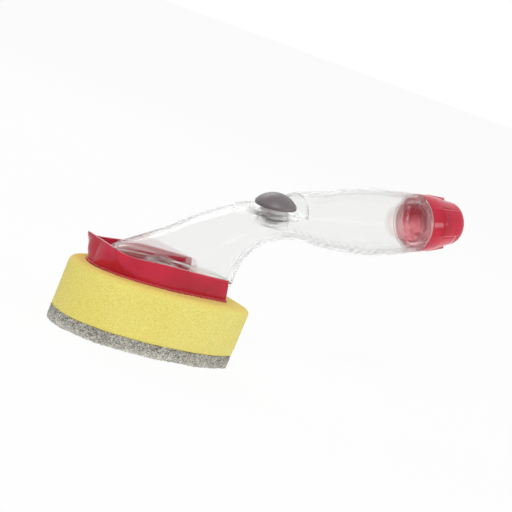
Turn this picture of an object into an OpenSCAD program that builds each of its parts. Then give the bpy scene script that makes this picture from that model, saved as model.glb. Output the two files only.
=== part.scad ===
/* [Refill] */
// Length of the sponge from toe to heel
sponge_len = 102; // [94:1:108]
// Widest half width of the sponge
sponge_half_w = 33; // [31:0.5:35]
// Half width of the sponge at its flat heel
sponge_heel_half_w = 23.5; // [22:0.5:25]
// Thickness of the scouring pad
pad_t = 7; // [5:0.5:9]
// Thickness of the foam above the pad
foam_t = 28; // [26:0.5:30]
// Height of the tray at its thumb tab
tray_h = 13; // [12:0.5:14]
// Wall thickness of the tray
tray_wall = 1.6; // [1.4:0.1:2]

/* [Reservoir] */
// Wall thickness of the clear body
shell_wall = 1.8; // [1.5:0.1:2.2]
// Angle that the handle rises above the pad
handle_rise = 12; // [11:0.5:13]
// Outer radius where the handle meets the cap
joint_r = 17.3; // [17:0.1:18]
// Slope of the flat floor under the button
recess_rise = 9.6; // [9:0.1:10]

/* [Button] */
// Radius of the button's disc
button_r = 11.8; // [11.4:0.1:12.2]
// Height of the button's dome above its rim
button_dome = 5; // [4:0.1:5.4]
// Thickness of the button's rim
rim_t = 2.6; // [2:0.1:3]

/* [Cap] */
// Length of the cap along the handle
cap_len = 30.8; // [30:0.1:33]
// Axial step of the thread in one turn
thread_pitch = 4; // [3.5:0.1:4]

/* [Hidden] */

$fn = 48;
eps = 0.01;
gap = 0.3;

clear_c = [0.9, 0.92, 0.92, 0.35];
red_c = "crimson";
grey_c = "dimgray";
rubber_c = "gainsboro";

// heights up the refill
foam_top = pad_t + foam_t;
bond_t = 0.5;
tray_z = foam_top + bond_t;
tray_floor = 1.6;
toe_x = -sponge_len / 2;
heel_x = sponge_len / 2;
sponge_wide_x = 11;
sponge_square = 2.25;
foam_edge = 3;
foam_steps = 3;

// plan of the tray, which is open at its heel
tray_toe_x = -39.5;
tray_heel_x = 36.5;
tray_lean_x = 2.5;
tray_wide_x = 2;
tray_half_w = 22;
tray_square = 2.2;
tray_steps = 18;
tray_heel_half_w = 19.5;
tab_x = -39;
tab_half_w = 14.5;
tab_rise = 1.3;
side_top = tray_z + tray_h - tab_rise;
drain_r = 7;
rail_x0 = -26;
rail_t = 1.6;
tongue_len = 8;
tongue_half_w = 5;

// T key under the reservoir and the rails that hook over its foot
key_x0 = -28;
key_len = 64;
key_half_w = 9.2;
foot_half_w = 11.4;
foot_z0 = tray_z + tray_floor + gap;
foot_z1 = foot_z0 + 1.8;
lip_z0 = foot_z1 + gap;
lip_z1 = lip_z0 + 1.4;
plate_z0 = lip_z1 + gap;
plate_t = 2;
plate_inset = 0.2;
plate_z1 = plate_z0 + plate_t;
gasket_t = 0.4;
shell_z0 = plate_z1 + gasket_t;

// outlet through the key
outlet_r = 4;
valve_x = 2;
valve_seat_r = 6;
seat_depth = 1;
valve_bore_r = 2.6;
slit_len = 4.8;
slit_w = 0.3;
retainer_r = 9;
retainer_hub_r = 5;
retainer_bore_r = 2.8;

// handle axis: the point where the clear shoulder meets the cap
joint_pos = [164.9, 0, 103.3];
shoulder_t = 2;
neck_len = 14;
neck_r = 12;
neck_bore_r = 10.2;
thread_h = 0.9;
thread_w = 1.5;
cap_bore_r = 13.5;
cap_bore_end = 15.9;
liner_t = 1.4;
liner_r = 12.8;
lugs = 4;
lug_arc = 40;
lug_w = 1.2;
lug_r = cap_bore_r - 1.1;
lug_s0 = 5;
pad_s0 = 9.5;
pad_r0 = 16.6;
pad_s1 = 23.7;
pad_sector = 62;
pad_turn = -107;
grip_pads = 3;
pad_foot = 12;
crown_bore_r = 9;

// button frame: the middle of its disc on the recess floor
button_pos = [61.8, 0, 88.6];
pocket_d = 1.8;
pocket_play = 0.7;
rim_lift = 1;
well_r = 9.2;
well_bore_r = 8.4;
well_depth = 7.5;
well_floor = 1.4;
check_hole_r = 1;
flap_r = 4.6;
plunger_r = 7.9;
plunger_wall = 1.2;
plunger_len = 5;
groove_h0 = 0.9;
groove_r = 7.2;
seal_h = 1.2;
recess_x0 = 20;
recess_x1 = 75.8;
recess_half_w = 30;

// near half of an egg-shaped plan, from the toe to the heel
function plan_points(toe, heel, wide_x, half_w, heel_w, k, n = 28) = concat(
    [for (i = [0:n]) let (t = 90 - 90 * i / n)
        [wide_x - (wide_x - toe) * pow(sin(t), 2 / k), half_w * pow(cos(t), 2 / k)]],
    [for (i = [1:8]) let (t = i / 8)
        [wide_x + (heel - wide_x) * t, half_w - (half_w - heel_w) * t * t]]);
function closed_plan(p) = concat(p, [for (i = [len(p) - 1:-1:1]) [p[i][0], -p[i][1]]]);

module sponge_plan(inset = 0) {
    polygon(closed_plan(plan_points(toe_x + inset, heel_x - inset, sponge_wide_x,
        sponge_half_w - inset, sponge_heel_half_w - inset, sponge_square)));
}

module tray_plan(inset = 0, heel = tray_heel_x) {
    polygon(closed_plan(plan_points(tray_toe_x + inset, heel, tray_wide_x,
        tray_half_w - inset, tray_heel_half_w - inset, tray_square, tray_steps)));
}

// half of the top edge behind the thumb tab
side_edge = [[-28, 18.4], [-10, 21.2], [tray_wide_x, tray_half_w], [18, 21.2]];

module tray_top_plan(inset = 0, heel = tray_heel_x) {
    near = concat([for (p = side_edge) p - [0, inset]],
        [[heel - tray_lean_x, tray_heel_half_w - inset]]);
    polygon(concat(near, [for (i = [len(near) - 1:-1:0]) [near[i][0], -near[i][1]]]));
}

// tray block that fills its plan from z0 up to the walls' top edge, lifted by lift
module tray_solid(inset, z0, lift = 0, heel = tray_heel_x) {
    tab_half = tab_half_w - inset;
    hull() {
        translate([0, 0, z0]) linear_extrude(eps) tray_plan(inset, heel);
        translate([0, 0, side_top + lift - eps]) linear_extrude(eps) tray_top_plan(inset, heel);
        translate([tab_x + inset, -tab_half, side_top + tab_rise + lift - eps]) cube([eps, 2 * tab_half, eps]);
    }
}

// stations of the clear body: middle x and z, lean of the section, half length, half width, squareness
stations = [
    [9.5, shell_z0, 0, 39.4, 16.8, 2.3],
    [10.1, 47, 0, 38.7, 17, 2.3],
    [17.4, 53.5, 3, 32.5, 17, 2],
    [24.9, 59.4, 8, 25.6, 16.9, 2],
    [31.8, 65.8, 14, 21.2, 16.7, 2],
    [41.1, 72.8, 23, 16.5, 16.3, 2],
    [51.6, 78.5, 35, 14.3, 15.9, 2],
    [63, 83.5, 52, 12.8, 15.2, 2],
    [79.5, 88.1, 74, 13.6, 14.6, 2],
    [97.4, 90.4, 78.5, 16, 16.1, 2],
    [115.4, 93.6, 78, 18.5, 18.5, 2],
    [133.4, 96.9, 78, 19.4, 19.4, 2],
    [150, 100, 78, 18.7, 18.7, 2],
    [joint_pos[0] - shoulder_t * cos(handle_rise), joint_pos[2] - shoulder_t * sin(handle_rise),
        90 - handle_rise, joint_r, joint_r, 2]];
ring_sides = 36;
ring_steps = 2;

// smooth curve through the stations at station number u
function spline(a, b, c, d, t) = b + (c - a) * t / 2 + (2 * a - 5 * b + 4 * c - d) * t * t / 2
    + (3 * b - a - 3 * c + d) * t * t * t / 2;
function station_at(u) = let (last = len(stations) - 1, i = min(floor(u), last - 1), t = u - i)
    spline(stations[max(i - 1, 0)], stations[i], stations[i + 1], stations[min(i + 2, last)], t);
function signed_pow(v, p) = sign(v) * pow(abs(v), p);
function section(st, inset) = [for (i = [0:ring_sides - 1]) let (t = 360 * i / ring_sides,
        along = (st[3] - inset) * signed_pow(cos(t), 2 / st[5]))
    [st[0] - along * cos(st[2]), (st[4] - inset) * signed_pow(sin(t), 2 / st[5]), st[1] + along * sin(st[2])]];

// plan of the body's foot
module foot_plan(inset) {
    polygon([for (p = section(stations[0], inset)) [p[0], p[1]]]);
}

// closed solid through every section, grown past both open ends by reach
module body_loft(inset, reach = 0) {
    last = len(stations) - 1;
    count = last * ring_steps;
    rings = [for (k = [0:count]) section(station_at(k / ring_steps), inset)];
    low = [for (p = rings[0]) p - [0, 0, reach]];
    high = [for (p = rings[count]) p + reach * [cos(handle_rise), 0, sin(handle_rise)]];
    all = reach > 0 ? concat([low], rings, [high]) : rings;
    n = len(all);
    pts = [for (r = all, p = r) p];
    sides = [for (k = [0:n - 2], i = [0:ring_sides - 1], f = [0, 1])
        let (j = (i + 1) % ring_sides, a = k * ring_sides, b = a + ring_sides)
        f == 0 ? [a + i, b + j, b + i] : [a + i, a + j, b + j]];
    polyhedron(pts, concat([[for (i = [ring_sides - 1:-1:0]) i]], sides,
        [[for (i = [0:ring_sides - 1]) (n - 1) * ring_sides + i]]));
}

module on_handle(s = 0) {
    translate(joint_pos) rotate([0, 90 - handle_rise, 0]) translate([0, 0, s]) children();
}

module on_button(h = 0) {
    translate(button_pos) rotate([0, -recess_rise, 0]) translate([0, 0, h]) children();
}

// block above the recess floor, lowered by drop, with the steep wall at its handle end
module recess_block(drop = 0) {
    on_button(-drop) translate([recess_x0 - button_pos[0], -recess_half_w, 0])
        cube([recess_x1 - recess_x0 + drop, 2 * recess_half_w, recess_half_w]);
    on_button(-pocket_d - drop) cylinder(r = button_r + pocket_play + drop, h = recess_half_w);
}

// helical ridge of a thread on a cylinder of radius r, as one swept solid
module helix_ridge(r, height, width, turns, sides = 24) {
    n = ceil(turns * sides);
    prof = [[r, -width / 2], [r + height, -width / 4], [r + height, width / 4], [r, width / 2]];
    pts = [for (k = [0:n], p = prof) let (a = 360 * k / sides)
        [p[0] * cos(a), p[0] * sin(a), p[1] + thread_pitch * k / sides]];
    flanks = [for (k = [0:n - 1], i = [0:3], f = [0, 1]) let (j = (i + 1) % 4, a = 4 * k, b = a + 4)
        f == 0 ? [a + i, b + j, b + i] : [a + i, a + j, b + j]];
    polyhedron(pts, concat([[3, 2, 1, 0]], flanks, [[for (i = [0:3]) 4 * n + i]]));
}

module scouring_pad() {
    color("slategray") linear_extrude(pad_t) sponge_plan();
}

module sponge_foam() {
    step = foam_edge / foam_steps;
    color("khaki") {
        translate([0, 0, pad_t]) linear_extrude(foam_t - foam_edge) sponge_plan();
        for (i = [0:foam_steps - 1]) translate([0, 0, foam_top - foam_edge + i * step]) linear_extrude(step)
            sponge_plan(foam_edge - sqrt(foam_edge * foam_edge - pow((i + 0.6) * step, 2)));
    }
}

module tray_bond() {
    color("firebrick") translate([0, 0, foam_top]) linear_extrude(bond_t) tray_plan(-gap);
}

module sponge_tray() {
    floor_z = tray_z + tray_floor;
    rail_len = tray_heel_x - tray_lean_x - 2 - rail_x0;
    color(red_c) {
        difference() {
            tray_solid(0, tray_z);
            tray_solid(tray_wall, floor_z, 1, tray_heel_x + 1);
            translate([valve_x, 0, tray_z - 1]) cylinder(r = drain_r, h = tray_floor + 2);
        }
        for (side = [0, 1]) mirror([0, side, 0]) translate([rail_x0, 0, 0]) {
            translate([0, foot_half_w + gap, floor_z - eps]) cube([rail_len, rail_t, lip_z1 - floor_z + eps]);
            translate([0, key_half_w + gap, lip_z0])
                cube([rail_len, foot_half_w - key_half_w + rail_t, lip_z1 - lip_z0]);
        }
        translate([tray_heel_x - tongue_len + 2, -tongue_half_w, tray_z])
            cube([tongue_len, 2 * tongue_half_w, tray_floor]);
    }
}

module base_plate() {
    color(clear_c) difference() {
        union() {
            translate([0, 0, plate_z0]) linear_extrude(plate_t) foot_plan(plate_inset);
            translate([key_x0, -key_half_w, foot_z1 - eps])
                cube([key_len, 2 * key_half_w, plate_z0 - foot_z1 + 2 * eps]);
            translate([key_x0, -foot_half_w, foot_z0]) cube([key_len, 2 * foot_half_w, foot_z1 - foot_z0]);
        }
        translate([valve_x, 0, foot_z0 - 1]) cylinder(r = outlet_r, h = plate_z1);
        translate([valve_x, 0, plate_z1 - seat_depth]) cylinder(r = valve_seat_r, h = plate_t);
    }
}

module base_gasket() {
    color(rubber_c) translate([0, 0, plate_z1]) linear_extrude(gasket_t) difference() {
        foot_plan(plate_inset);
        foot_plan(2 * shell_wall);
    }
}

module outlet_valve() {
    z0 = foot_z0 + 0.5;
    color(rubber_c) translate([valve_x, 0, 0]) difference() {
        union() {
            translate([0, 0, plate_z1 - seat_depth]) cylinder(r = valve_seat_r - 0.1, h = seat_depth + 0.2);
            translate([0, 0, z0]) cylinder(r = outlet_r - 0.1, h = plate_z1 - seat_depth - z0 + eps);
        }
        translate([0, 0, z0 + 1.1]) cylinder(r = valve_bore_r, h = plate_z1);
        translate([-slit_len / 2, -slit_w / 2, z0 - 1]) cube([slit_len, slit_w, 3]);
    }
}

module valve_retainer() {
    flange_t = 1.4;
    hub_h = 4;
    color(clear_c) translate([valve_x, 0, plate_z1 + 0.2]) difference() {
        union() {
            cylinder(r = retainer_r, h = flange_t);
            cylinder(r = retainer_hub_r, h = hub_h);
        }
        translate([0, 0, -1]) cylinder(r = retainer_bore_r, h = hub_h + 2);
        for (i = [0:3]) rotate(90 * i) translate([3, -1, flange_t + 0.4]) cube([4, 2, hub_h]);
    }
}

module reservoir_shell() {
    color(clear_c) difference() {
        difference() {
            body_loft(0);
            recess_block();
        }
        difference() {
            body_loft(shell_wall, 1);
            recess_block(shell_wall);
        }
        on_button(-10) cylinder(r = well_r, h = 12);
    }
}

module pump_well() {
    bottom = -pocket_d - well_depth;
    color(clear_c) on_button() difference() {
        translate([0, 0, bottom]) cylinder(r = well_r, h = well_depth);
        translate([0, 0, bottom + well_floor]) cylinder(r = well_bore_r, h = well_depth);
        for (i = [0:3]) rotate(45 + 90 * i) translate([3, 0, bottom - 1]) cylinder(r = check_hole_r, h = 4);
    }
}

module pump_check_flap() {
    color(rubber_c) on_button(-pocket_d - well_depth + well_floor) difference() {
        cylinder(r = flap_r, h = 0.8);
        translate([0, 0, -1]) cylinder(r = 0.6, h = 3);
    }
}

// spring of round wire between the well's floor and the plunger, as one unbroken tube
spring_r = 5.9;
spring_wire = 0.5;
spring_turns = 3.5;
spring_z0 = -pocket_d - well_depth + well_floor + spring_wire;
spring_len = 7.3;
function spring_point(u) = [spring_r * cos(360 * spring_turns * u), spring_r * sin(360 * spring_turns * u),
    spring_z0 + (spring_len - 2 * spring_wire) * u];
turn_rings = 8;
spring_rings = spring_turns * turn_rings;
echo(spring_gap = (spring_len - 2 * spring_wire) / spring_turns - 2 * spring_wire * cos(30));

module button_spring() {
    sides = 6;
    pts = [for (k = [0:spring_rings], i = [0:sides - 1])
        let (c = spring_point(k / spring_rings), a = 360 * k / turn_rings, b = 360 * i / sides)
        c + [spring_wire * cos(b) * cos(a), spring_wire * cos(b) * sin(a), spring_wire * 0.7 * sin(b)]];
    faces = [for (k = [0:spring_rings - 1], i = [0:sides - 1], f = [0, 1])
        let (j = (i + 1) % sides, a = sides * k, b = a + sides)
        f == 0 ? [a + i, b + j, b + i] : [a + i, a + j, b + j]];
    color("silver") on_button() polyhedron(pts, concat([[for (i = [sides - 1:-1:0]) i]], faces,
        [[for (i = [0:sides - 1]) sides * spring_rings + i]]));
}

module button_cap() {
    ball_r = (button_r * button_r + button_dome * button_dome) / (2 * button_dome);
    color(grey_c) on_button(rim_lift) {
        cylinder(r = button_r, h = rim_t);
        translate([0, 0, rim_t]) intersection() {
            translate([0, 0, button_dome - ball_r]) sphere(r = ball_r);
            cylinder(r = button_r, h = button_dome + 1);
        }
    }
}

module button_plunger() {
    color(grey_c) on_button(rim_lift - plunger_len) difference() {
        cylinder(r = plunger_r, h = plunger_len);
        translate([0, 0, -1]) cylinder(r = plunger_r - plunger_wall, h = plunger_len - 0.5);
        translate([0, 0, groove_h0]) difference() {
            cylinder(r = plunger_r + 1, h = seal_h);
            translate([0, 0, -1]) cylinder(r = groove_r, h = seal_h + 2);
        }
    }
}

module plunger_seal() {
    color("gray") on_button(rim_lift - plunger_len + groove_h0) difference() {
        cylinder(r = well_bore_r - 0.05, h = seal_h);
        translate([0, 0, -1]) cylinder(r = groove_r, h = seal_h + 2);
    }
}

module filler_neck() {
    color(clear_c) on_handle() difference() {
        union() {
            translate([0, 0, -shoulder_t]) cylinder(r = joint_r, h = shoulder_t);
            cylinder(r = neck_r, h = neck_len);
            translate([0, 0, 3]) helix_ridge(neck_r - gap, thread_h + gap, thread_w, 2);
        }
        translate([0, 0, -shoulder_t - 1]) cylinder(r = neck_bore_r, h = neck_len + 10);
    }
}

module cap_liner() {
    color(red_c) on_handle(neck_len + 0.2) cylinder(r = liner_r, h = liner_t);
}

// short arcs inside the cap, stepped along the thread, half a pitch off the neck's ridge
module thread_lugs() {
    root_r = cap_bore_r + 0.5;
    for (i = [0:lugs - 1]) rotate(360 / lugs * i)
        translate([0, 0, lug_s0 + thread_pitch * i / lugs]) rotate_extrude(angle = lug_arc)
            polygon([[root_r, -lug_w / 2], [lug_r, -lug_w / 4], [lug_r, lug_w / 4], [root_r, lug_w / 2]]);
}

module end_cap() {
    color(red_c) on_handle() {
        difference() {
            union() {
                rotate_extrude() polygon([[0, gap], [joint_r - 0.3, gap], [joint_r - 0.1, 1], [pad_r0, pad_s0],
                    [13.4, pad_s1], [13, pad_s1 + 3], [11.8, pad_s1 + 5.4], [9.4, cap_len - 0.9],
                    [6.4, cap_len], [0, cap_len]]);
                for (i = [0:grip_pads - 1]) rotate(360 / grip_pads * i + pad_turn - pad_sector / 2)
                    rotate_extrude(angle = pad_sector) polygon([[pad_foot, pad_s0 - 1.5],
                        [pad_r0 - 0.2, pad_s0 - 1.5], [15, pad_s1 - 0.5], [14.6, pad_s1 - 0.1],
                        [pad_foot, pad_s1 - 0.1]]);
            }
            translate([0, 0, gap - 1]) cylinder(r = cap_bore_r, h = cap_bore_end - gap + 1);
            translate([0, 0, cap_bore_end - 1]) cylinder(r = crown_bore_r, h = pad_s1 - cap_bore_end);
        }
        thread_lugs();
    }
}

scouring_pad();
sponge_foam();
tray_bond();
sponge_tray();
base_plate();
base_gasket();
outlet_valve();
valve_retainer();
reservoir_shell();
pump_well();
pump_check_flap();
button_spring();
button_cap();
button_plunger();
plunger_seal();
filler_neck();
cap_liner();
end_cap();
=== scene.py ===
import bpy
from math import sin, cos, asin, radians, pi, sqrt, atan2, copysign
from mathutils import Vector, Matrix


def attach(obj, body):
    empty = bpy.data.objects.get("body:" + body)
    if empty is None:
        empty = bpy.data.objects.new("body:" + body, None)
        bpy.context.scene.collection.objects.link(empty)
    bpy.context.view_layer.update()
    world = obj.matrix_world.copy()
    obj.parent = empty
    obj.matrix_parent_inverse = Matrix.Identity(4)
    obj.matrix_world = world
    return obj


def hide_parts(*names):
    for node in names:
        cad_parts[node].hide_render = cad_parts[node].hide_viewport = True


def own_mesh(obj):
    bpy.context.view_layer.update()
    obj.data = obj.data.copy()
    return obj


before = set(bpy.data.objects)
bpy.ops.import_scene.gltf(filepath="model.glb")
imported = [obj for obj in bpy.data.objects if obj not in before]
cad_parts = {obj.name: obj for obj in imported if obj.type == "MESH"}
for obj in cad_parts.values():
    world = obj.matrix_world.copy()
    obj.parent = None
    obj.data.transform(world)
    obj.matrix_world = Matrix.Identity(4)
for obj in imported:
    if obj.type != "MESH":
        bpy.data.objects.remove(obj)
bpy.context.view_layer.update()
print("frame loaded")

mm = 0.001

# places and sizes in mm, in the frame of the part's source
joint = {"place": (164.9, 0, 103.3), "rise": 12.0, "radius": 17.3, "shoulder": 2.0}
button = {"place": (61.8, 0, 88.6), "rise": 9.6, "radius": 11.8, "dome": 6.0, "rim": 1.7, "lift": 1.5,
          "pocket": 1.8, "pocketGap": 0.7}
sponge = {"toe": -51.0, "heel": 51.0, "wideX": 11.0, "half": 33.0, "heelHalf": 23.5, "square": 2.25,
          "padTop": 7.0, "foamTop": 35.0, "edge": 3.4, "foamGrain": 0.75, "padGrain": 0.55}
tray = {"toe": -39.5, "heel": 36.5, "wideX": 2.0, "half": 22.0, "heelHalf": 19.5, "square": 2.2, "rows": 14,
        "bottom": 35.5, "floor": 1.6, "wall": 1.6, "bulge": 2.0, "belly": 0.35, "creaseX": -25.5, "creaseReach": 7.0,
        "drain": 7.0, "drainX": 2.0, "railStart": -26.0, "railEnd": 32.0, "railWall": 1.6, "railInside": 11.7,
        "lipInside": 9.5, "lipZ": (39.5, 40.9), "tongueHalf": 5.0, "tongueLength": 8.0}
body = {"wall": 1.8, "sides": 160, "recessEnd": 14.0, "recessSide": 19.0, "recessFront": -42.0, "recessTurn": -2.0,
        "recessSquare": 0.62, "wellRadius": 9.2, "ripple": 0.25, "ripples": 11}


def clearSelection():
    if bpy.context.mode != "OBJECT":
        bpy.ops.object.mode_set(mode="OBJECT")
    bpy.ops.object.select_all(action="DESELECT")


def pick(piece):
    clearSelection()
    piece.select_set(True)
    bpy.context.view_layer.objects.active = piece


def meshPiece(name, points, faces):
    data = bpy.data.meshes.new(name)
    data.from_pydata([Vector(p) * mm for p in points], [], faces)
    piece = bpy.data.objects.new(name, data)
    bpy.context.scene.collection.objects.link(piece)
    return piece


def applyModifier(piece, kind, **settings):
    pick(piece)
    modifier = piece.modifiers.new(kind.lower(), kind)
    for key, value in settings.items():
        setattr(modifier, key, value)
    bpy.ops.object.modifier_apply(modifier=modifier.name)


def closeSeams(piece, distance=0.01):
    pick(piece)
    bpy.ops.object.mode_set(mode="EDIT")
    bpy.ops.mesh.select_all(action="SELECT")
    bpy.ops.mesh.remove_doubles(threshold=distance * mm)
    bpy.ops.mesh.normals_make_consistent(inside=False)
    bpy.ops.object.mode_set(mode="OBJECT")


def smooth(piece, angle=35):
    pick(piece)
    bpy.ops.object.shade_smooth_by_angle(angle=radians(angle))


def blendStep(a, b, x):
    t = min(1.0, max(0.0, (x - a) / (b - a)))
    return t * t * (3 - 2 * t)


# corners that carry a third number, the radius, become small arcs
def eased(profile, steps=4):
    out = []
    for i, corner in enumerate(profile):
        if len(corner) == 2 or i in (0, len(profile) - 1):
            out.append(corner[:2])
            continue
        here = Vector(corner[:2])
        before, after = Vector(profile[i - 1][:2]) - here, Vector(profile[i + 1][:2]) - here
        a = here + before.normalized() * min(corner[2], before.length * 0.49)
        b = here + after.normalized() * min(corner[2], after.length * 0.49)
        for k in range(steps + 1):
            t = k / steps
            out.append(tuple(a * (1 - t) ** 2 + here * 2 * t * (1 - t) + b * t * t))
    return out


# a circle drawn out along its axis ring by ring, as (radius, height) pairs
def turned(name, profile, place, sides=128, shape=None):
    clearSelection()
    start = profile[0]
    bpy.ops.mesh.primitive_circle_add(vertices=sides, radius=start[0] * mm, location=(0, 0, start[1] * mm),
                                      fill_type="NOTHING" if profile[-1] == start else "NGON")
    piece = bpy.context.object
    piece.name = piece.data.name = name
    bpy.ops.object.transform_apply(location=True, rotation=True, scale=True)
    bpy.ops.object.mode_set(mode="EDIT")
    bpy.ops.mesh.select_all(action="SELECT")
    for (r, z), (rNext, zNext) in zip(profile, profile[1:]):
        bpy.ops.mesh.extrude_edges_move(TRANSFORM_OT_translate={"value": (0, 0, (zNext - z) * mm)})
        bpy.ops.transform.resize(value=(rNext / r, rNext / r, 1), center_override=(0, 0, zNext * mm))
    if profile[-1] != start:
        bpy.ops.mesh.edge_face_add()
    bpy.ops.mesh.select_all(action="SELECT")
    bpy.ops.mesh.remove_doubles(threshold=0.004 * mm)
    bpy.ops.mesh.normals_make_consistent(inside=False)
    bpy.ops.object.mode_set(mode="OBJECT")
    if shape:
        for vertex in piece.data.vertices:
            x, y, z = vertex.co / mm
            r, angle = sqrt(x * x + y * y), atan2(y, x)
            rNew = shape(r, angle, z)
            if r > 0.01:
                vertex.co.x, vertex.co.y = x * rNew / r * mm, y * rNew / r * mm
    piece.data.transform(place)
    piece.data.update()
    return piece


def onHandle(s=0.0):
    turn = Matrix.Rotation(radians(90 - joint["rise"]), 4, "Y")
    return Matrix.Translation(Vector(joint["place"]) * mm) @ turn @ Matrix.Translation((0, 0, s * mm))


def onButton(h=0.0):
    turn = Matrix.Rotation(radians(-button["rise"]), 4, "Y")
    return Matrix.Translation(Vector(button["place"]) * mm) @ turn @ Matrix.Translation((0, 0, h * mm))


def settle(piece, bodyName, nodes=()):
    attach(piece, bodyName)
    if nodes:
        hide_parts(*nodes)
    return piece


# materials: one wire class for shader maths and one method that makes every node
class Wire:
    def __init__(self, recipe, socket):
        self.recipe, self.socket = recipe, socket

    def maths(self, operation, *values):
        return self.recipe.node("ShaderNodeMath", {"operation": operation}, dict(enumerate(values)))

    def __add__(self, other): return self.maths("ADD", self, other)
    def __radd__(self, other): return self.maths("ADD", other, self)
    def __mul__(self, other): return self.maths("MULTIPLY", self, other)
    def __rmul__(self, other): return self.maths("MULTIPLY", other, self)
    def __truediv__(self, other): return self.maths("DIVIDE", self, other)


class Recipe:
    def __init__(self, name, tree=None):
        if tree is None:
            self.material = bpy.data.materials.new(name)
            self.material.use_nodes = True
            tree = self.material.node_tree
        tree.nodes.clear()
        self.tree = tree

    def node(self, kind, settings=None, sockets=None, out=0):
        made = self.tree.nodes.new(kind)
        for key, value in (settings or {}).items():
            if key == "stops":
                ramp = made.color_ramp
                while len(ramp.elements) < len(value):
                    ramp.elements.new(0.5)
                for element, (position, colour) in zip(ramp.elements, value):
                    element.position, element.color = position, (*colour, 1)
            else:
                setattr(made, key, value)
        for key, value in (sockets or {}).items():
            if isinstance(value, Wire):
                self.tree.links.new(value.socket, made.inputs[key])
            elif isinstance(value, (tuple, list)) and len(value) == 3 and made.inputs[key].type == "RGBA":
                made.inputs[key].default_value = (*value, 1)
            else:
                made.inputs[key].default_value = value
        return Wire(self, made.outputs[out])

    def place(self, scale=(1, 1, 1), turn=(0, 0, 0)):
        where = self.node("ShaderNodeTexCoord", out="Object")
        return self.node("ShaderNodeMapping", {}, {"Vector": where, "Scale": scale, "Rotation": turn})

    def noise(self, scale, detail=4.0, roughness=0.6, where=None):
        return self.node("ShaderNodeTexNoise", {},
                         {"Vector": where or self.place(), "Scale": scale, "Detail": detail, "Roughness": roughness})

    def cells(self, scale, feature="F1"):
        return self.node("ShaderNodeTexVoronoi", {"feature": feature}, {"Vector": self.place(), "Scale": scale})

    def ramp(self, factor, *stops):
        return self.node("ShaderNodeValToRGB", {"stops": stops}, {0: factor})

    def mix(self, factor, a, b):
        return self.node("ShaderNodeMix", {"data_type": "RGBA"}, {0: factor, 6: a, 7: b}, out=2)

    def bump(self, height, strength, distance):
        return self.node("ShaderNodeBump", {}, {"Height": height, "Strength": strength, "Distance": distance * mm})

    # 1 where the camera, a reflection or a view through glass sees the surface
    def seen(self):
        camera = self.node("ShaderNodeLightPath", out="Is Camera Ray")
        outputs = camera.socket.node.outputs
        return camera + Wire(self, outputs["Is Glossy Ray"]) + Wire(self, outputs["Is Transmission Ray"])

    def finish(self, kind, shader):
        end = self.tree.nodes.new(kind)
        self.tree.links.new(shader.socket, end.inputs["Surface"])

    def surface(self, **sockets):
        named = {key.replace("_", " "): value for key, value in sockets.items()}
        self.finish("ShaderNodeOutputMaterial", self.node("ShaderNodeBsdfPrincipled", {}, named))
        return self.material


# part of the light goes straight through, so thin walls don't turn black at their edges
def makeClearPlastic(name, index, tint, opacity):
    r = Recipe(name)
    flow = r.noise(38, 2, 0.5, r.place((1, 1.4, 2.5)))
    fine = r.noise(900, 2, 0.5)
    return r.surface(Base_Color=tint, Transmission_Weight=1.0, IOR=index, Alpha=opacity,
                     Roughness=0.005 + fine * 0.03, Normal=r.bump(flow, 0.12, 0.4))


def makeRedPlastic(name, paintedLight=False):
    r, extra = Recipe(name), {}
    cloud = r.noise(45, 3, 0.5)
    fine = r.noise(1400, 2, 0.5)
    colour = r.mix(r.ramp(cloud, (0.35, (0, 0, 0)), (0.65, (1, 1, 1))), (0.56, 0.008, 0.036), (0.72, 0.014, 0.058))
    if paintedLight:  # painted highlight along the grip pads' edges and painted shade in the channels beside them
        edge = r.node("ShaderNodeAttribute", {"attribute_name": "padEdge"}, out="Fac")
        colour = r.mix(r.ramp(edge, (0.0, (1, 1, 1)), (0.5, (0, 0, 0))), colour, (0.40, 0.0, 0.02))
        colour = r.mix(r.ramp(edge, (0.5, (0, 0, 0)), (1.0, (1, 1, 1))), colour, (0.98, 0.30, 0.33))
        through = r.node("ShaderNodeAttribute", {"attribute_name": "through"}, out="Fac")  # painted glow: emission standing in for daylight seen inside the cap
        extra = {"Emission_Strength": 1.0, "Emission_Color": r.ramp(
            through, (0.0, (0, 0, 0)), (0.15, (0.10, 0.0, 0.010)), (1.0, (0.44, 0.20, 0.225)))}
    return r.surface(Base_Color=colour, Roughness=0.07 + fine * 0.06, Specular_IOR_Level=0.5,
                     Transmission_Weight=0.3, IOR=1.4, Normal=r.bump(cloud + fine * 0.15, 0.1, 0.3), **extra)


def makeFoam():
    r = Recipe("foam")
    pores = r.cells(2400, "SMOOTH_F1")
    grain = r.noise(1500, 3, 0.7)
    tone = r.noise(24, 3, 0.5)
    height = r.node("ShaderNodeSeparateXYZ", {}, {0: r.node("ShaderNodeTexCoord", out="Object")}, out=2)
    ledgeShade = r.ramp(height / mm / 40, (0.80, (0, 0, 0)), (0.875, (1, 1, 1)))  # painted shade with a painted red reflection, warmer towards the tray
    base = r.mix(r.ramp(tone, (0.35, (0, 0, 0)), (0.7, (1, 1, 1))), (0.88, 0.765, 0.185), (0.92, 0.825, 0.25))
    # the top few mm under the tray turn darker orange: painted shade and painted reflection of the red tray
    base = r.mix(ledgeShade, base, (0.86, 0.64, 0.15))
    speck = r.ramp(pores * 0.8 + grain * 0.45, (0.30, (0, 0, 0)), (0.60, (1, 1, 1)))
    colour = r.mix(speck, (0.66, 0.54, 0.08), base)
    return r.surface(Base_Color=colour, Roughness=0.92, Sheen_Weight=0.1, Sheen_Roughness=0.6,
                     Normal=r.bump(pores * 0.7 + grain * 0.6, 0.8, 0.35))


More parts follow.
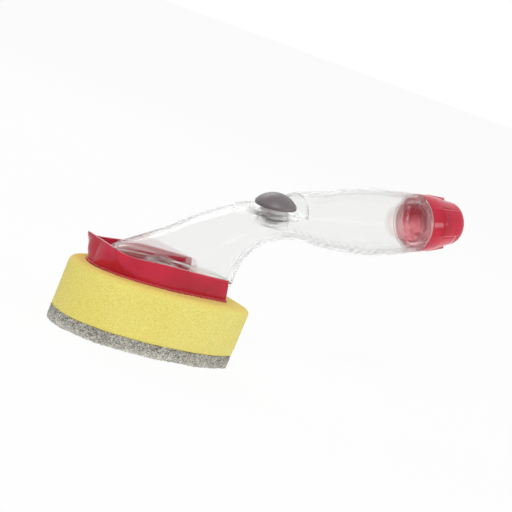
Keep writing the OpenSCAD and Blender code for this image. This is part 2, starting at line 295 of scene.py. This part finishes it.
def makeScourFibre():
    r = Recipe("scourFibre")
    warp = r.noise(210, 2, 0.6)
    threadA = r.noise(1000, 3, 0.8, r.place((1, 1, 2.4), (0, 0, 0.6)))
    threadB = r.noise(2100, 2, 0.75, r.place((2.2, 2.2, 1)))
    strand = r.node("ShaderNodeTexNoise", {"noise_type": "RIDGED_MULTIFRACTAL"},
                    {"Vector": r.place((1, 1, 1.6)), "Scale": 620, "Detail": 3.0, "Roughness": 0.7})
    felt = threadA * 0.5 + threadB * 0.3 + strand * 0.12
    height = r.node("ShaderNodeSeparateXYZ", {}, {0: r.node("ShaderNodeTexCoord", out="Object")}, out=2)
    shade = r.ramp(height / mm / 10, (0.0, (0.10, 0.10, 0.10)), (0.35, (0.03, 0.03, 0.03)), (0.72, (0, 0, 0)))
    mixed = felt + warp * 0.12 + shade * 0.6
    colour = r.ramp(mixed, (0.38, (0.02, 0.019, 0.017)), (0.445, (0.20, 0.19, 0.165)),
                    (0.505, (0.56, 0.54, 0.475)), (0.58, (0.96, 0.94, 0.89)))
    return r.surface(Base_Color=colour, Roughness=0.8, Normal=r.bump(felt, 1.0, 0.9))


def makePewter():
    r = Recipe("pewterPlastic")
    flake = r.cells(3800)
    tone = r.noise(90, 3, 0.5)
    colour = r.mix(tone, (0.135, 0.118, 0.125), (0.20, 0.178, 0.187))
    return r.surface(Base_Color=colour, Metallic=0.3, Roughness=0.36 + tone * 0.1, Specular_IOR_Level=0.4,
                     Normal=r.bump(flake, 0.08, 0.05))


def makePlain(name, colour, darker, roughness, grain, metallic=0.0):
    r = Recipe(name)
    cloud, fine = r.noise(70, 3, 0.55), r.noise(grain, 3, 0.6)
    return r.surface(Base_Color=r.mix(cloud, darker, colour), Metallic=metallic, Roughness=roughness + fine * 0.12,
                     Normal=r.bump(fine, 0.2, 0.08))


clearPlastic = makeClearPlastic("clearPlastic", 1.13, (0.91, 0.913, 0.905), 0.7)
neckPlastic = makeClearPlastic("neckPlastic", 1.3, (1.0, 0.99, 0.99), 0.9)
redPlastic = makeRedPlastic("redPlastic")
# the cap's copy of the red carries painted highlights and painted shade along its grip pads, and a painted glow inside
capPlastic = makeRedPlastic("capPlastic", paintedLight=True)
foamMaterial = makeFoam()
scourFibre = makeScourFibre()
pewterPlastic = makePewter()
# a pale copy of the button's pewter grey: painted light for the haze seen through the clear body over the plunger
palePewter = makePlain("palePewter", (0.86, 0.82, 0.83), (0.80, 0.76, 0.77), 0.4, 1900)
paleRubber = makePlain("paleRubber", (0.80, 0.81, 0.80), (0.70, 0.71, 0.70), 0.45, 1600)
springSteel = makePlain("springSteel", (0.62, 0.62, 0.63), (0.50, 0.50, 0.52), 0.22, 2600, metallic=1.0)
bondRed = makePlain("bondRed", (0.62, 0.05, 0.075), (0.34, 0.006, 0.025), 0.25, 900)
redRubber = makePlain("redRubber", (0.97, 0.42, 0.45), (0.94, 0.34, 0.38), 0.42, 1200)
greyRubber = makePlain("greyRubber", (0.36, 0.345, 0.35), (0.30, 0.285, 0.29), 0.45, 1600)
print("materials ready")


# plan outlines of the sponge and the tray: one side from the toe to the heel
def planSide(spec, inset=0.0, count=44, straight=14):
    toe, wide, end = spec["toe"] + inset, spec["wideX"], spec["heel"] - inset
    half, heelHalf = spec["half"] - inset, spec["heelHalf"] - inset
    side = []
    for i in range(count + 1):
        t = radians(90 - 90 * i / count)
        side.append((wide - (wide - toe) * sin(t) ** (2 / spec["square"]), half * cos(t) ** (2 / spec["square"])))
    for i in range(1, straight + 1):
        t = i / straight
        side.append((wide + (end - wide) * t, half - (half - heelHalf) * t * t))
    return side


def closedPlan(side):
    return side + [(x, -y) for x, y in reversed(side[1:])]


# points at an even step along a closed line
def evenly(points, step):
    loop = [Vector(p) for p in points] + [Vector(points[0])]
    lengths = [0.0]
    for a, b in zip(loop, loop[1:]):
        lengths.append(lengths[-1] + (b - a).length)
    count, out, k = int(lengths[-1] / step), [], 0
    for i in range(count):
        want = lengths[-1] * i / count
        while lengths[k + 1] < want:
            k += 1
        t = (want - lengths[k]) / (lengths[k + 1] - lengths[k])
        out.append(tuple(loop[k].lerp(loop[k + 1], t)))
    return out


def displaced(piece, size, strength):
    pattern = bpy.data.textures.new(piece.name + "Clouds", "CLOUDS")
    pattern.noise_scale = size * mm
    pattern.noise_depth = 2
    applyModifier(piece, "DISPLACE", texture=pattern, strength=strength * mm, mid_level=0.5, texture_coords="LOCAL")


# a slab cut to the sponge's outline, with its top edge rounded over
def block(name, z0, z1, grain, topEdge=0.0):
    outline = evenly(closedPlan(planSide(sponge)), 1.2)
    clearSelection()
    bpy.ops.mesh.primitive_circle_add(vertices=len(outline), radius=1, fill_type="NGON")
    piece = bpy.context.object
    piece.name = piece.data.name = name
    for vertex, (x, y) in zip(piece.data.vertices, outline):
        vertex.co = Vector((x, y, z0)) * mm
    levels = [(0.0, z1 - topEdge)]
    levels += [(topEdge * (1 - cos(radians(15 * k))), z1 - topEdge + topEdge * sin(radians(15 * k)))
               for k in range(1, 7)] if topEdge else []
    bpy.ops.object.mode_set(mode="EDIT")
    bpy.ops.mesh.select_all(action="SELECT")
    height, shrunk = z0, 0.0
    for inset, z in levels:
        bpy.ops.mesh.extrude_region_move(TRANSFORM_OT_translate={"value": (0, 0, (z - height) * mm)})
        k = 1 - (inset - shrunk) / sponge["half"]
        kx = 1 - (inset - shrunk) / (sponge["heel"] - sponge["toe"]) * 2
        bpy.ops.transform.resize(value=(kx, k, 1), center_override=(0, 0, z * mm))
        height, shrunk = z, inset
    bpy.ops.mesh.select_all(action="SELECT")
    bpy.ops.mesh.normals_make_consistent(inside=False)
    bpy.ops.object.mode_set(mode="OBJECT")
    applyModifier(piece, "REMESH", mode="VOXEL", voxel_size=grain * mm)
    return piece


# the sponge's ends lean a little towards the handle as they rise
def leaned(piece):
    length = sponge["heel"] - sponge["toe"]
    for vertex in piece.data.vertices:
        rise = vertex.co.z / mm / sponge["foamTop"]
        atHeel = (vertex.co.x / mm - sponge["toe"]) / length
        vertex.co.x += ((0.9 + 1.3 * rise) * (1 - atHeel) + (-1.0 + 2.1 * rise) * atHeel) * mm


foam = block("foamBlock", sponge["padTop"] + 0.05, sponge["foamTop"], sponge["foamGrain"], sponge["edge"])
displaced(foam, 14, 0.5)
displaced(foam, 0.9, 0.2)
leaned(foam)
smooth(foam, 60)
foam.data.materials.append(foamMaterial)
settle(foam, "refill", ["sponge_foam"])

pad = block("scourPad", 0.0, sponge["padTop"] + 0.15, sponge["padGrain"])
displaced(pad, 9, 0.8)
displaced(pad, 1.1, 0.9)
leaned(pad)
smooth(pad, 60)
pad.data.materials.append(scourFibre)
settle(pad, "refill", ["scouring_pad"])
print("sponge done")

# tray: thin red walls drawn from the plan of its floor up to its top edge, with a straight thumb tab in front
tabCorner = (-39.0, 14.5, 48.5)
sideKnots = [tabCorner, (-33.4, 16.6, 47.2), (-25.3, 18.9, 46.8), (-10.4, 21.2, 47.5), (2, 22, 47.5),
             (18.2, 21.3, 47.1), (33.8, 19.7, 46.8)]


def stepped(rows, t):
    a, b, c, d = rows
    return [q + (r - p) * t / 2 + (2 * p - 5 * q + 4 * r - s) * t * t / 2 + (3 * q - p - 3 * r + s) * t ** 3 / 2
            for p, q, r, s in zip(a, b, c, d)]


# smooth line through the knots, with some points between each two
def smoothLine(knots, between=12):
    out = []
    for i in range(len(knots) - 1):
        near = [knots[max(i - 1, 0)], knots[i], knots[i + 1], knots[min(i + 2, len(knots) - 1)]]
        out += [tuple(stepped(near, k / between)) for k in range(between)]
    return out + [tuple(knots[-1])]


# point at share t of a line's length
def alongLine(points, t):
    lengths = [0.0]
    for a, b in zip(points, points[1:]):
        lengths.append(lengths[-1] + (Vector(b) - Vector(a)).length)
    want = lengths[-1] * min(1.0, max(0.0, t))
    for k in range(len(points) - 1):
        if want <= lengths[k + 1] or k == len(points) - 2:
            return Vector(points[k]).lerp(Vector(points[k + 1]), (want - lengths[k]) / (lengths[k + 1] - lengths[k]))


# pairs of bottom and top points, from the middle of the toe to the heel
def trayColumns():
    bottom = [p for p in evenly(closedPlan(planSide(tray, count=80, straight=30)), 0.8) if p[1] >= 0]
    bottom.sort(key=lambda p: (p[0], p[1]) if p[0] < 30 else (p[0], -p[1]))
    bottom = [p for p in bottom if p[0] < tray["heel"] - 0.2] + [(tray["heel"], tray["heelHalf"])]
    front = [p for p in bottom if p[0] <= tray["creaseX"]]
    rest = [p for p in bottom if p[0] > tray["creaseX"]]
    frontTop = [(tabCorner[0], 0, tabCorner[2]), tabCorner]
    sideTop = smoothLine(sideKnots)
    pairs = [(p, alongLine(frontTop, i / (len(front) - 1))) for i, p in enumerate(front)]
    return pairs + [(p, alongLine(sideTop, (i + 1) / len(rest))) for i, p in enumerate(rest)]


# straight bar with softened edges, for the rails inside the tray
def bar(name, low, high, softness=0.2):
    clearSelection()
    bpy.ops.mesh.primitive_cube_add(size=1, location=[(a + b) / 2 * mm for a, b in zip(low, high)],
                                    scale=[(b - a) * mm for a, b in zip(low, high)])
    piece = bpy.context.object
    piece.name = piece.data.name = name
    bpy.ops.object.transform_apply(location=True, rotation=True, scale=True)
    applyModifier(piece, "BEVEL", width=softness * mm, segments=2)
    return piece


def joined(piece, others):
    pick(piece)
    for other in others:
        other.select_set(True)
    bpy.ops.object.join()
    return piece


def makeTray():
    pairs = trayColumns()
    full = [((x, -y), (u, -v, w)) for (x, y), (u, v, w) in reversed(pairs[1:])] + pairs
    rows, points = tray["rows"], []
    for k in range(rows + 1):
        t = k / rows
        for (x, y), (u, v, w) in full:
            front = 1.0 if x <= tray["creaseX"] else 1 - blendStep(tray["creaseX"], tray["creaseX"] + 3, x)
            past = (x - tray["creaseX"]) / tray["creaseReach"]
            near = min(1.0, abs(y) / 10) if past <= 0 else max(0.0, 1 - past)
            bulge = tray["bulge"] * sin(pi * t) * near  # the creases beside the tab stand out, the sides belly
            belly = tray["belly"] * sin(pi * t) * (1 - front) * copysign(1, y)
            across = belly + bulge * 0.4 * copysign(1, y)
            points.append((x + (u - x) * t - bulge * 0.9, y + (v - y) * t + across,
                           tray["bottom"] + (w - tray["bottom"]) * t))
    n = len(full)
    inner = []
    for k in range(rows + 1):
        row = points[k * n:(k + 1) * n]
        for i, (x, y, z) in enumerate(row):
            ahead, behind = Vector(row[min(i + 1, n - 1)][:2]), Vector(row[max(i - 1, 0)][:2])
            inward = Vector((ahead.y - behind.y, behind.x - ahead.x)).normalized()
            height = max(z, tray["bottom"] + tray["floor"])
            inner.append((x + inward.x * tray["wall"], y + inward.y * tray["wall"], height))
    first, top = len(points), rows * n
    faces = [(k * n + i, k * n + i + 1, (k + 1) * n + i + 1, (k + 1) * n + i)
             for k in range(rows) for i in range(n - 1)]
    faces += [tuple(first + q for q in reversed(face)) for face in faces]
    faces += [(top + i, top + i + 1, first + top + i + 1, first + top + i) for i in range(n - 1)]
    faces += [(k * n + e, (k + 1) * n + e, first + (k + 1) * n + e, first + k * n + e)
              for k in range(rows) for e in (0, n - 1)]
    faces += [tuple(reversed(range(n))), tuple(range(first, first + n)), (0, n - 1, first + n - 1, first)]
    shell = meshPiece("trayShell", points + inner, faces)
    closeSeams(shell, 0.02)
    drain = turned("drainCutter", [(tray["drain"], 30), (tray["drain"], 40)],
                   Matrix.Translation((tray["drainX"] * mm, 0, 0)), 64)
    applyModifier(shell, "BOOLEAN", operation="DIFFERENCE", object=drain, solver="EXACT")
    bpy.data.objects.remove(drain)
    applyModifier(shell, "BEVEL", width=0.35 * mm, segments=3, limit_method="ANGLE", angle_limit=radians(50))
    floorTop, (lipLow, lipHigh) = tray["bottom"] + tray["floor"] - 0.1, tray["lipZ"]
    tongueEnd, half = tray["heel"] + 2, tray["tongueHalf"]
    bars = [bar("tongue", (tongueEnd - tray["tongueLength"], -half, tray["bottom"]), (tongueEnd, half, floorTop), 0.4)]
    for side in (-1, 1):
        inside, outside = sorted((side * tray["railInside"], side * (tray["railInside"] + tray["railWall"])))
        bars.append(bar("rail", (tray["railStart"], inside, floorTop), (tray["railEnd"], outside, lipHigh)))
        inside, outside = sorted((side * tray["lipInside"], side * (tray["railInside"] + 0.3)))
        bars.append(bar("lip", (tray["railStart"], inside, lipLow), (tray["railEnd"], outside, lipHigh)))
    joined(shell, bars)
    smooth(shell, 16)
    return shell


trayShell = makeTray()
trayShell.data.materials.clear()
trayShell.data.materials.append(redPlastic)
settle(trayShell, "refill", ["sponge_tray"])

bead = {"step": 0.5, "out": 0.3, "thick": 0.75, "tooth": 0.45, "height": 0.75, "ring": 8}


# squeezed-out glue along the foot of the tray, in uneven little teeth
def makeBead():
    side = evenly(closedPlan(planSide(tray, -bead["out"], count=80, straight=30)), bead["step"])
    points, n, ring = [], len(side), bead["ring"]
    for i, (x, y) in enumerate(side):
        ahead, behind = Vector(side[(i + 1) % n]), Vector(side[i - 1])
        out = Vector((ahead.y - behind.y, behind.x - ahead.x)).normalized()
        if out.dot(Vector((x, y))) < 0:
            out = -out
        tooth = sin(i * 1.9) * sin(i * 0.37 + 1) * 0.6 + sin(i * 0.83) * 0.4
        swell = bead["thick"] + bead["tooth"] * tooth
        for k in range(ring):
            a = 2 * pi * k / ring
            points.append((x + out.x * swell * cos(a), y + out.y * swell * cos(a),
                           sponge["foamTop"] + bead["height"] + swell * (0.9 * sin(a) - 0.25)))
    faces = [(i * ring + k, (i + 1) % n * ring + k, (i + 1) % n * ring + (k + 1) % ring, i * ring + (k + 1) % ring)
             for i in range(n) for k in range(ring)]
    strip = meshPiece("glueBead", points, faces)
    closeSeams(strip, 0.001)
    smooth(strip, 70)
    return strip


glueBead = makeBead()
glueBead.data.materials.append(bondRed)
settle(glueBead, "refill", ["tray_bond"])
print("tray done")

# clear body: smooth sections along the handle, with the button's recess pressed into its top
joinDirection = Vector((cos(radians(joint["rise"])), 0, sin(radians(joint["rise"]))))
lastPlace = Vector(joint["place"]) - joinDirection * joint["shoulder"]
stations = [
    (9.5, 43.6, 0, 39.4, 16.8, 2.3), (10.1, 47, 0, 38.7, 17, 2.3), (17.4, 53.5, 3, 32.5, 17, 2),
    (24.9, 59.4, 8, 25.6, 16.9, 2), (31.8, 65.8, 14, 21.2, 16.7, 2), (41.1, 72.8, 23, 16.5, 16.3, 2),
    (51.6, 78.5, 35, 14.3, 15.9, 2), (63, 83.5, 52, 12.8, 15.2, 2), (79.5, 88.1, 74, 13.6, 14.6, 2),
    (97.4, 90.4, 78.5, 16, 16.1, 2), (115.4, 93.6, 78, 18.5, 18.5, 2), (133.4, 96.9, 78, 19.4, 19.4, 2),
    (150, 100, 78, 18.7, 18.7, 2),
    (lastPlace.x, lastPlace.z, 90 - joint["rise"], joint["radius"], joint["radius"], 2)]


def stationAt(u):
    last = len(stations) - 1
    i = min(int(u), last - 1)
    return stepped([stations[max(i - 1, 0)], stations[i], stations[i + 1], stations[min(i + 2, last)]], u - i)


# finger ripples across the underside of the grip
def ripple(u, a):
    where = (u - 7.9) / 3.4
    along = blendStep(0, 0.12, where) * (1 - blendStep(0.85, 1, where))
    under = blendStep(-0.05, -0.5, cos(a)) * (1 - 0.5 * blendStep(-0.9, -1, cos(a)))
    return body["ripple"] * along * under * (0.5 - 0.5 * cos(2 * pi * (where * body["ripples"] + 0.8 * cos(a))))


def bodyRing(u, inset):
    x, z, lean, long, wide, square = stationAt(u)
    lean, ring = radians(lean), []
    for i in range(body["sides"]):
        a = 2 * pi * i / body["sides"]
        dip = inset or ripple(u, a)
        along = (long - dip) * copysign(abs(cos(a)) ** (2 / square), cos(a))
        across = (wide - dip) * copysign(abs(sin(a)) ** (2 / square), sin(a))
        ring.append(Vector((x - along * cos(lean), across, z + along * sin(lean))))
    return ring


# closed solid through all the sections, run on past both ends where reach is given
def loft(name, inset, reach=0.0):
    last, u, steps = len(stations) - 1, 0.0, []
    while u < last - 1e-6:
        steps.append(u)
        u += 1 / 20 if 4.5 < u < 11.5 else 1 / 12
    rings = [bodyRing(u, inset) for u in steps + [last]]
    if reach:
        below, beyond = [p - Vector((0, 0, reach)) for p in rings[0]], [p + joinDirection * reach for p in rings[-1]]
        rings = [below] + rings + [beyond]
    n, count = body["sides"], len(rings)
    faces = [(k * n + i, (k + 1) * n + i, (k + 1) * n + (i + 1) % n, k * n + (i + 1) % n)
             for k in range(count - 1) for i in range(n)]
    faces += [tuple(range(n)), tuple((count - 1) * n + i for i in reversed(range(n)))]
    piece = meshPiece(name, [p for ring in rings for p in ring], faces)
    closeSeams(piece, 0.002)
    return piece


def cutAway(piece, cutter):
    applyModifier(piece, "BOOLEAN", operation="DIFFERENCE", object=cutter, solver="EXACT")
    bpy.data.objects.remove(cutter)


# cutters for the button's recess: a flat floor with a rounded end wall, and the round pocket in it
def cutRecess(piece, drop):
    front, start, power, beyond = body["recessFront"], body["recessTurn"], body["recessSquare"], 30
    end, side = body["recessEnd"] + drop, body["recessSide"] + drop
    outline = [(front, beyond), (front, -beyond), (start, -beyond)]
    for k in range(49):
        a = radians(-90 + 180 * k / 48)
        outline.append((start + (end - start) * cos(a) ** power, side * copysign(abs(sin(a)) ** power, sin(a))))
    outline.append((start, beyond))
    n = len(outline)
    points = [(x, y, z) for z in (-drop, beyond) for x, y in outline]
    faces = [tuple(reversed(range(n))), tuple(range(n, 2 * n))]
    faces += [(i, (i + 1) % n, n + (i + 1) % n, n + i) for i in range(n)]
    plough = meshPiece("recessCutter", points, faces)
    plough.data.transform(onButton())
    closeSeams(plough, 0.002)
    cutAway(piece, plough)
    pocketRadius, floorHeight = button["radius"] + button["pocketGap"] + drop, -button["pocket"] - drop
    cutAway(piece, turned("pocketCutter", [(pocketRadius, floorHeight), (pocketRadius, 20)], onButton(), 128))


clearBody = loft("clearBody", 0)
cutRecess(clearBody, 0)
hollow = loft("hollowCutter", body["wall"], 1.0)
cutRecess(hollow, body["wall"])
cutAway(clearBody, hollow)
cutAway(clearBody, turned("wellCutter", [(body["wellRadius"], -10), (body["wellRadius"], 2)], onButton(), 96))
smooth(clearBody, 35)
clearBody.data.materials.clear()
clearBody.data.materials.append(clearPlastic)
settle(clearBody, "handle", ["reservoir_shell"])
print("clear body done")

# neck with its thread, closed onto the shoulder
neck = {"radius": 12.0, "bore": 10.2, "length": 14.0, "thread": 0.9, "pitch": 4.0, "start": 3.0, "turns": 2.0}


def threadShape(r, angle, z):
    if r < neck["radius"] - 0.05 or r > neck["radius"] + 0.05 or z < 1:
        return r
    turnsHere = (z - neck["start"]) / neck["pitch"] - angle / (2 * pi)
    offset = (turnsHere - round(turnsHere)) * neck["pitch"]
    turn = round(turnsHere) + angle / (2 * pi)
    ends = blendStep(-0.1, 0.15, turn) * (1 - blendStep(neck["turns"] - 0.15, neck["turns"] + 0.1, turn))
    return r + neck["thread"] * ends * (1 - blendStep(0.35, 0.8, abs(offset)))


neckWall = [(neck["radius"], 0.5 + 0.22 * k) for k in range(58)]
neckProfile = eased([(neck["bore"], -2), (joint["radius"], -1.98, 0.1), (joint["radius"], -0.05, 0.6),
                     (neck["radius"] + 0.6, -0.02, 0.3), (neck["radius"] + 0.02, 0.45)])
neckProfile += neckWall + eased([(neck["radius"], 13.3), (neck["radius"] - 0.1, neck["length"], 0.5),
                                 (neck["bore"] + 0.1, neck["length"], 0.4), (neck["bore"], 13), (neck["bore"], -2)])
fillerNeck = turned("fillerNeck", neckProfile, onHandle(), 144, threadShape)
smooth(fillerNeck, 50)
fillerNeck.data.materials.append(neckPlastic)
settle(fillerNeck, "handle", ["filler_neck"])

# red screw cap, hollow, with three raised grip pads and four thread lugs inside
cap = {"length": 30.8, "bore": 13.5, "boreEnd": 15.9, "crownBore": 9.0, "crownEnd": 22.6, "wallStart": 16.6,
       "wallEnd": 13.4, "pads": 3, "padStart": 9.5, "padEnd": 23.7, "padArc": 62.0, "padTurn": -107.0, "padRise": 1.3,
       "padStep": 0.5, "channel": 0.45, "outsideFrom": 12.9,
       "insideTo": 13.7, "lugHeight": 1.1, "lugs": 4, "lugArc": 40.0, "lugStart": 5.0, "pitch": 4.0}


# degrees between a direction and the middle of the nearest grip pad
def fromPad(degrees):
    share = 360 / cap["pads"]
    return abs((degrees - cap["padTurn"] + share / 2) % share - share / 2)


def capShape(r, angle, z):
    degrees = (angle * 180 / pi) % 360
    if r > cap["crownBore"] + 3 and r > cap["bore"] + 0.02 or z > cap["padStart"] and r > cap["outsideFrom"]:
        away = fromPad(degrees)  # outside: the pads
        window = 1 - blendStep(cap["padArc"] / 2 - 1.6, cap["padArc"] / 2 + 0.6, away)
        groove = cap["channel"] * max(0.0, 1 - abs(away - cap["padArc"] / 2 - 2.2) / 1.8)  # beside each pad
        rise = min(1.0, max(0.0, (z - cap["padStart"]) / (cap["padEnd"] - cap["padStart"])))
        end = 1 - blendStep(cap["padEnd"] - 0.35, cap["padEnd"] + 0.1, z)
        height = (cap["padStep"] + cap["padRise"] * rise) * window - groove
        return r + height * end * blendStep(cap["padStart"], cap["padStart"] + 0.7, z)
    if abs(r - cap["bore"]) < 0.02 and 3 < z < 12:
        lug = 360 / cap["lugs"]
        i = int(degrees // lug)
        into = degrees - i * lug
        away = abs(z - cap["lugStart"] - cap["pitch"] * i / cap["lugs"])
        arc = blendStep(0, 3, into) * (1 - blendStep(cap["lugArc"] - 3, cap["lugArc"], into))
        return r - cap["lugHeight"] * arc * (1 - blendStep(0.3, 0.65, away))
    return r


outerWall = [(cap["wallStart"] + (cap["wallEnd"] - cap["wallStart"]) * k / 36,
              cap["padStart"] + (cap["padEnd"] - cap["padStart"]) * k / 36) for k in range(37)]
capProfile = eased([(cap["bore"] + 0.3, 0.3), (joint["radius"] - 0.25, 0.3, 0.25), (joint["radius"] - 0.1, 1.2),
                    (cap["wallStart"], cap["padStart"])], 4)[:-1] + outerWall
capProfile += eased([(cap["wallEnd"], 23.75), (13.1, 26.2, 2.5), (11.9, 29.2, 2.6), (9.0, 30.5, 2.2),
                     (5.5, cap["length"], 2.0), (0.004, cap["length"])], 5)[1:]
capInside = eased([(0.004, cap["crownEnd"]), (cap["crownBore"], cap["crownEnd"], 1.5),
                   (cap["crownBore"], cap["boreEnd"], 0.3), (cap["bore"], cap["boreEnd"], 0.4), (cap["bore"], 12)], 4)
capInside += [(cap["bore"], 12 - 0.25 * k) for k in range(1, 45)] + [(cap["bore"], 0.7), (cap["bore"] + 0.3, 0.3)]
endCap = turned("endCap", capProfile + capInside, onHandle(), 288, capShape)
smooth(endCap, 38)
# padEdge runs from 0 in the channels (painted shade) to 1 on the pads' edges (painted highlight); through sets a
# painted glow that grows towards the cap's lower inside
marks = [endCap.data.attributes.new(name, "FLOAT", "POINT") for name in ("padEdge", "through")]
toCap = onHandle().inverted()
for i, vertex in enumerate(endCap.data.vertices):
    x, y, z = (toCap @ vertex.co) / mm
    away = fromPad(atan2(y, x) * 180 / pi) - cap["padArc"] / 2
    along = blendStep(cap["padStart"] - 0.5, cap["padStart"] + 1.5, z)
    along *= 1 - blendStep(cap["padEnd"], cap["padEnd"] + 0.3, z)
    reach = sqrt(x * x + y * y)
    outside = 1.0 if reach > cap["outsideFrom"] else 0.0
    # lit is the painted highlight just inside each pad's edge, dark the painted shade in the channel beside it
    lit, dark = max(0.0, 1 - abs(away + 1.4) / 2.4), max(0.0, 1 - abs(away - 2.6) / 3.4)
    marks[0].data[i].value = 0.5 + 0.5 * (lit - dark) * along * outside
    # through is the strength of the painted glow on the cap's inside
    inside = reach < cap["insideTo"] and z < cap["crownEnd"] + 1
    marks[1].data[i].value = 0.15 + 0.85 * blendStep(-3, 8, x) if inside else 0.0
endCap.data.materials.append(capPlastic)
settle(endCap, "cap", ["end_cap"])

liner = turned("capLiner", eased([(0.004, 14.2), (12.6, 14.2, 0.3), (12.8, 14.5, 0.2), (12.8, 15.3, 0.2),
                                  (12.6, 15.6, 0.2), (0.004, 15.6)]), onHandle(), 96)
smooth(liner)
liner.data.materials.append(redRubber)
settle(liner, "liner", ["cap_liner"])
print("cap done")

# button: a satin dome over a hollow skirt, working in a cup that hangs from the recess
dome, rimTop = button["dome"], button["lift"] + button["rim"]
ball = (button["radius"] ** 2 + dome ** 2) / (2 * dome)
domeReach = asin((button["radius"] - 0.5) / ball)
domeLine = [(ball * sin(domeReach * k / 40), rimTop + dome - ball + ball * cos(domeReach * k / 40))
            for k in range(1, 41)]
buttonProfile = eased([(button["radius"] - 1.2, button["lift"]), (button["radius"], button["lift"], 0.6),
                       (button["radius"], rimTop, 1.0), domeLine[-1]], 6) + domeLine[-2::-1]
buttonCap = turned("buttonCap", buttonProfile, onButton(), 160)
smooth(buttonCap, 60)
buttonCap.data.materials.append(pewterPlastic)
settle(buttonCap, "button", ["button_cap"])

plunger = turned("buttonPlunger", eased([
    (6.7, -4), (7.9, -4, 0.2), (7.9, -3.1, 0.1), (7.2, -3.1), (7.2, -1.9), (7.9, -1.9, 0.1), (7.9, 1.6),
    (6.0, 1.6), (6.0, -0.5), (6.7, -0.5, 0.2), (6.7, -4)]), onButton(), 128)
smooth(plunger)
# the plunger's pale grey is painted light, standing in for the haze through the clear body
plunger.data.materials.append(palePewter)
settle(plunger, "button", ["button_plunger"])

seal = turned("plungerSeal", eased([
    (7.2, -3.1), (8.1, -3.1, 0.1), (8.35, -2.8, 0.2), (8.1, -2.5, 0.2), (8.35, -2.2, 0.2), (8.1, -1.9, 0.1),
    (7.2, -1.9), (7.2, -3.1)]), onButton(), 128)
smooth(seal)
seal.data.materials.append(greyRubber)
settle(seal, "button", ["plunger_seal"])

coil = {"radius": 5.9, "wire": 0.5, "turns": 3.5, "floor": -7.4, "length": 6.3, "around": 10, "perTurn": 40}


# pump spring: round wire wound as one tube, with closed ends
def makeCoil():
    count, around = int(coil["turns"] * coil["perTurn"]), coil["around"]
    points = []
    for k in range(count + 1):
        a = 2 * pi * k / coil["perTurn"]
        for i in range(around):
            b = 2 * pi * i / around
            reach = coil["radius"] + coil["wire"] * cos(b)
            height = coil["floor"] + coil["length"] * k / count + coil["wire"] * sin(b) * 0.9
            points.append((reach * cos(a), reach * sin(a), height))
    faces = [(k * around + i, (k + 1) * around + i, (k + 1) * around + (i + 1) % around,
              k * around + (i + 1) % around) for k in range(count) for i in range(around)]
    faces += [tuple(range(around)), tuple(count * around + i for i in reversed(range(around)))]
    piece = meshPiece("pumpSpring", points, faces)
    piece.data.transform(onButton())
    closeSeams(piece, 0.001)
    smooth(piece, 50)
    return piece


pumpSpring = makeCoil()
pumpSpring.data.materials.append(springSteel)
settle(pumpSpring, "handle", ["button_spring"])
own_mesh(pumpSpring)

# hidden pieces whose solids are already right keep them and get their finish here
for nodeName, material in (("base_plate", clearPlastic), ("base_gasket", paleRubber), ("outlet_valve", paleRubber),
                           ("valve_retainer", clearPlastic), ("pump_well", clearPlastic),
                           ("pump_check_flap", paleRubber)):
    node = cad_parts[nodeName]
    node.data.materials.clear()
    node.data.materials.append(material)
print("button done")

# floor, light and camera
stage = {"size": 60.0, "white": 0.92, "glow": 0.93, "room": 0.5}
clearSelection()
bpy.ops.mesh.primitive_plane_add(size=stage["size"], location=(0, 0, -0.0004))
floor = bpy.context.object
floor.name = "floor"
r = Recipe("floorWhite")
floorTone = r.mix(r.noise(30, 3, 0.5), (0.90, 0.90, 0.90), (stage["white"],) * 3)
matt = r.node("ShaderNodeBsdfDiffuse", {}, {"Color": floorTone})
glow = r.node("ShaderNodeEmission", {}, {"Color": (1, 1, 1), "Strength": 1.0})
lit = r.node("ShaderNodeMixShader", {}, {0: r.seen() * stage["glow"], 1: matt, 2: glow})
r.finish("ShaderNodeOutputMaterial", lit)
floor.data.materials.append(r.material)

world = bpy.data.worlds.new("paleRoom")
bpy.context.scene.world = world
world.use_nodes = True
w = Recipe("room", world.node_tree)
plain = w.node("ShaderNodeBackground", {}, {"Color": (1, 1, 1), "Strength": stage["room"]})
white = w.node("ShaderNodeBackground", {}, {"Color": (1, 1, 1), "Strength": 1.0})
w.finish("ShaderNodeOutputWorld", w.node("ShaderNodeMixShader", {}, {0: w.seen(), 1: plain, 2: white}))


def softLamp(name, place, target, size, watts):
    data = bpy.data.lights.new(name, "AREA")
    data.shape, data.size, data.size_y, data.energy = "RECTANGLE", size[0], size[1], watts
    lamp = bpy.data.objects.new(name, data)
    bpy.context.scene.collection.objects.link(lamp)
    lamp.location = place
    lamp.rotation_euler = (Vector(target) - Vector(place)).to_track_quat("-Z", "Y").to_euler()


softLamp("keyLamp", (-0.9, -0.9, 1.5), (0.05, 0, 0.06), (0.9, 0.9), 15)
softLamp("fillLamp", (1.15, -1.55, 0.55), (0.05, 0, 0.06), (1.0, 0.5), 7)
softLamp("backLamp", (0.3, 1.3, 1.1), (0.05, 0, 0.06), (1.0, 0.6), 5)

view = {"azimuth": -38.774, "elevation": 7.7375, "roll": 20.5422, "place": (-0.485777, -0.680748, 0.178933),
        "focalPixels": 1586.05, "frame": 512}
a, e, turn = (radians(view[key]) for key in ("azimuth", "elevation", "roll"))
back = Vector((sin(a) * cos(e), -cos(a) * cos(e), sin(e)))
right = Vector((cos(a), sin(a), 0))
up = back.cross(right)
tiltedRight = right * cos(turn) + up * sin(turn)
tiltedUp = up * cos(turn) - right * sin(turn)
data = bpy.data.cameras.new("camera")
data.sensor_width = 36
data.lens = 36 * view["focalPixels"] / view["frame"]
data.clip_start, data.clip_end = 0.01, 50
camera = bpy.data.objects.new("camera", data)
bpy.context.scene.collection.objects.link(camera)
camera.matrix_world = Matrix((tiltedRight, tiltedUp, back)).transposed().to_4x4()
camera.location = view["place"]
bpy.context.scene.camera = camera
bpy.context.scene.view_settings.view_transform = "Standard"
print("stage done")
